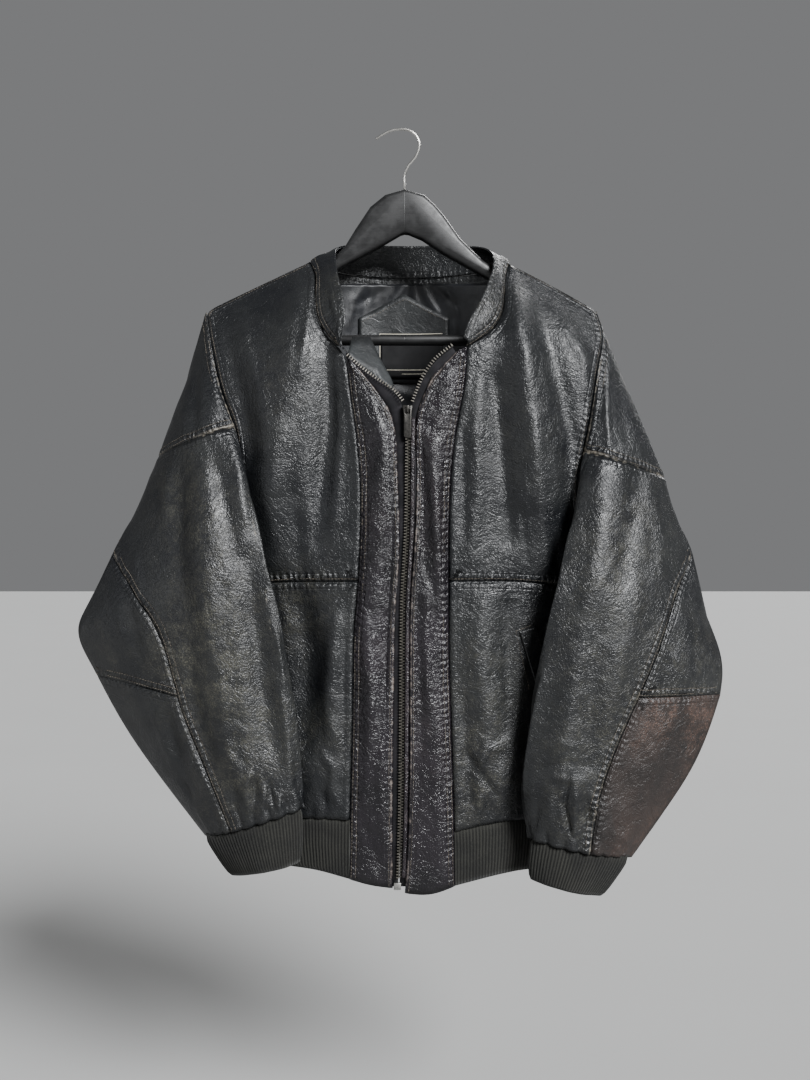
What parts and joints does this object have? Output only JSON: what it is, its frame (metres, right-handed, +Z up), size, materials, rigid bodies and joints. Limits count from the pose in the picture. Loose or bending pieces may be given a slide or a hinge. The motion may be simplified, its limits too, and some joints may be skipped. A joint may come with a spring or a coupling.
{
  "type": "worn leather blouson jacket on a wooden trouser-bar hanger",
  "caption": "Worn black leather zip jacket with dropped sleeves, stand collar and ribbed hem and cuffs, hung on a flat wooden trouser-bar hanger.",
  "frame": {"origin": "inner crown of the hanger's hook, where a rail or wall hook holds it", "axes": "+Z up, -Y out of the coat's front towards the viewer, +X the viewer's right; the hanger lies in the XZ plane"},
  "size_m": [0.6835, 0.166, 0.8091],
  "materials": {
    "leather": "worn semi-gloss black, scuffed",
    "leather_band": "glossier pebbled black",
    "leather_brown": "worn to brown",
    "rib_knit": "charcoal ribbed knit",
    "satin": "black satin",
    "label_cloth": "plain woven label with a thin border",
    "zip_tape": "woven tape",
    "zip_metal": "dulled metal",
    "painted_wood": "black satin paint",
    "steel": "polished steel wire"
  },
  "bodies": {
    "garment": {"front_upper_left": "leather", "front_upper_right": "leather", "front_lower_left": "leather", "front_lower_right": "leather", "back": "leather", "collar": "leather", "sleeve_cap_left": "leather", "sleeve_cap_right": "leather", "sleeve_front_left": "leather", "sleeve_front_right": "leather", "sleeve_elbow_left": "leather", "sleeve_elbow_right": "leather", "sleeve_elbow_patch_left": "leather", "neck_patch": "leather", "front_facing_left": "leather", "pocket_welt_left": "leather", "pocket_welt_right": "leather", "front_band_left": "leather_band", "front_band_right": "leather_band", "sleeve_elbow_patch_right": "leather_brown", "waistband": "rib_knit", "cuff_left": "rib_knit", "cuff_right": "rib_knit", "back_lining": "satin", "label": "label_cloth", "zip_tape_left": "zip_tape", "zip_tape_right": "zip_tape", "zip_slider": "zip_metal", "zip_box": "zip_metal", "hanger_board": "painted_wood", "hanger_bar": "painted_wood", "hanger_hook": "steel"},
    "pull_tab": {"zip_pull": "zip_metal"}
  },
  "joints": [
    {"name": "pull_swing", "type": "hinge", "parent": "garment", "child": "pull_tab", "pos_m": [0.008, -0.0794, -0.3095], "axis": [-1, 0, 0], "range_deg": [0, 160]}
  ]
}
